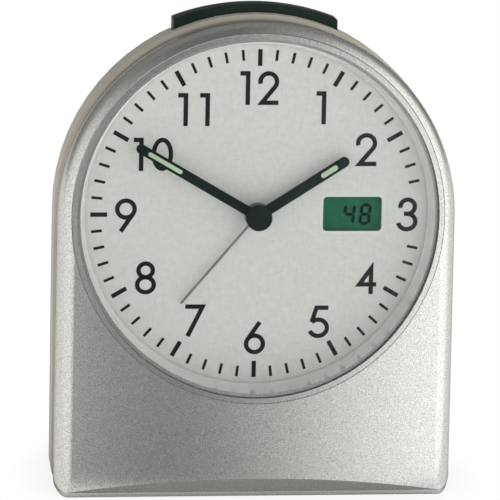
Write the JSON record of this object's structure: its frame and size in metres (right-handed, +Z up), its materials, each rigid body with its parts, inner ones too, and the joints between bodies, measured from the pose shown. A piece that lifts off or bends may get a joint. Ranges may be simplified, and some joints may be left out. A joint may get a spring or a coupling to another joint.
{
  "type": "radio-controlled alarm clock",
  "caption": "Arched bedside alarm clock on a flat base: bowed front, round dial with hands and a small display, snooze bar on top, setting controls and battery door at the back.",
  "frame": {"origin": "on the table, in the middle of the overall box seen from above", "axes": "+X to the viewer's right when facing the dial, +Y from the dial to the back, +Z up"},
  "size_m": [0.101, 0.0574, 0.121],
  "materials": {
    "silver_paint": "silver metallic paint on moulded plastic, satin",
    "clear_acrylic": "clear, polished",
    "ring_gloss": "silvered, polished",
    "dial_plate": "pale silver print, fine satin",
    "black_hand": "satin black paint",
    "bright_metal": "bright, fine brushed",
    "lume": "luminous pale green, matt",
    "display_glass": "green liquid crystal glass, satin",
    "white_plastic": "natural white moulding",
    "black_plastic": "matt black moulding",
    "board": "green solder resist on laminate",
    "copper": "enamelled copper wire",
    "ferrite": "sintered, dark grey",
    "teal_plastic": "dark teal moulding, satin",
    "brass": "rolled, bright",
    "battery_jacket": "plain film jacket, glossy"
  },
  "bodies": {
    "case": {"front_case": "silver_paint", "rear_case": "silver_paint", "lens": "clear_acrylic", "reflector_ring": "ring_gloss", "dial": "dial_plate", "display": "display_glass", "display_frame": "white_plastic", "display_lead": "copper", "movement_tray": "white_plastic", "movement_lid": "white_plastic", "stator": "bright_metal", "motor_coil": "copper", "circuit_board": "board", "clock_chip": "black_plastic", "quartz_crystal": "bright_metal", "snooze_switch": "black_plastic", "antenna_rod": "ferrite", "antenna_coil": "copper", "button_switch_1": "black_plastic", "button_switch_2": "black_plastic", "button_switch_3": "black_plastic", "slide_switch": "bright_metal", "button_board": "board", "buzzer": "brass", "battery": "battery_jacket", "battery_contact_plus": "bright_metal", "battery_contact_minus": "bright_metal", "case_screw_1": "bright_metal", "case_screw_2": "bright_metal", "case_screw_3": "bright_metal", "case_screw_4": "bright_metal", "movement_screw_1": "bright_metal", "movement_screw_2": "bright_metal", "button_board_screw_1": "bright_metal", "button_board_screw_2": "bright_metal"},
    "minute": {"minute_wheel": "white_plastic", "minute_hand": "black_hand", "minute_lume": "lume", "hub_cap": "black_hand"},
    "hour": {"hour_wheel": "white_plastic", "hour_hand": "black_hand", "hour_lume": "lume"},
    "motion": {"motion_wheel": "white_plastic"},
    "second": {"second_wheel": "white_plastic"},
    "motor_rotor": {"rotor": "ferrite"},
    "alarm": {"alarm_wheel": "white_plastic", "alarm_hand": "bright_metal"},
    "alarm_setter": {"alarm_setting_shaft": "white_plastic", "alarm_knob": "teal_plastic"},
    "snooze": {"snooze_bar": "teal_plastic"},
    "button_1": {"set_button_1": "teal_plastic"},
    "button_2": {"set_button_2": "teal_plastic"},
    "button_3": {"set_button_3": "teal_plastic"},
    "slider": {"alarm_slider": "teal_plastic"},
    "door": {"battery_door": "silver_paint"}
  },
  "joints": [
    {"name": "minute_turn", "type": "hinge", "parent": "case", "child": "minute", "pos_m": [0, -0.01448, 0.0706], "axis": [0, 0.9962, -0.0872], "continuous": true},
    {"name": "hour_turn", "type": "hinge", "parent": "case", "child": "hour", "pos_m": [0, -0.01448, 0.0706], "axis": [0, 0.9962, -0.0872], "continuous": true},
    {"name": "motion_turn", "type": "hinge", "parent": "case", "child": "motion", "pos_m": [-0.012, -0.01448, 0.0706], "axis": [0, 0.9962, -0.0872], "continuous": true},
    {"name": "second_turn", "type": "hinge", "parent": "case", "child": "second", "pos_m": [0, -0.01343, 0.08259], "axis": [0, 0.9962, -0.0872], "continuous": true},
    {"name": "rotor_turn", "type": "hinge", "parent": "case", "child": "motor_rotor", "pos_m": [-0.00636, -0.01287, 0.08893], "axis": [0, 0.9962, -0.0872], "continuous": true},
    {"name": "alarm_knob_turn", "type": "hinge", "parent": "case", "child": "alarm_setter", "pos_m": [0.0066, -0.01547, 0.05921], "axis": [0, 0.9962, -0.0872], "continuous": true},
    {"name": "alarm_turn", "type": "hinge", "parent": "case", "child": "alarm", "pos_m": [0, -0.01448, 0.0706], "axis": [0, 0.9962, -0.0872], "continuous": true},
    {"name": "snooze_press", "type": "slide", "parent": "case", "child": "snooze", "axis": [0, -0.0872, -0.9962], "range_m": [0, 0.001], "stiffness_N_per_m": 400, "springref_m": -0.0002},
    {"name": "set_button_1_press", "type": "slide", "parent": "case", "child": "button_1", "axis": [0, -0.9962, 0.0872], "range_m": [0, 0.0008], "stiffness_N_per_m": 400, "springref_m": -0.0002},
    {"name": "set_button_2_press", "type": "slide", "parent": "case", "child": "button_2", "axis": [0, -0.9962, 0.0872], "range_m": [0, 0.0008], "stiffness_N_per_m": 400, "springref_m": -0.0002},
    {"name": "set_button_3_press", "type": "slide", "parent": "case", "child": "button_3", "axis": [0, -0.9962, 0.0872], "range_m": [0, 0.0008], "stiffness_N_per_m": 400, "springref_m": -0.0002},
    {"name": "alarm_slider_slide", "type": "slide", "parent": "case", "child": "slider", "axis": [1, 0, 0], "range_m": [0, 0.003]},
    {"name": "battery_door_open", "type": "hinge", "parent": "case", "child": "door", "pos_m": [0, 0.01945, 0.00979], "axis": [-1, 0, 0], "range_deg": [0, 95]}
  ],
  "couplings": [
    {"joint": "hour_turn", "follows": "minute_turn", "ratio": 0.083333},
    {"joint": "motion_turn", "follows": "minute_turn", "ratio": -0.33333},
    {"joint": "second_turn", "follows": "minute_turn", "ratio": -6},
    {"joint": "rotor_turn", "follows": "minute_turn", "ratio": 30},
    {"joint": "alarm_turn", "follows": "alarm_knob_turn", "ratio": -0.33333}
  ]
}
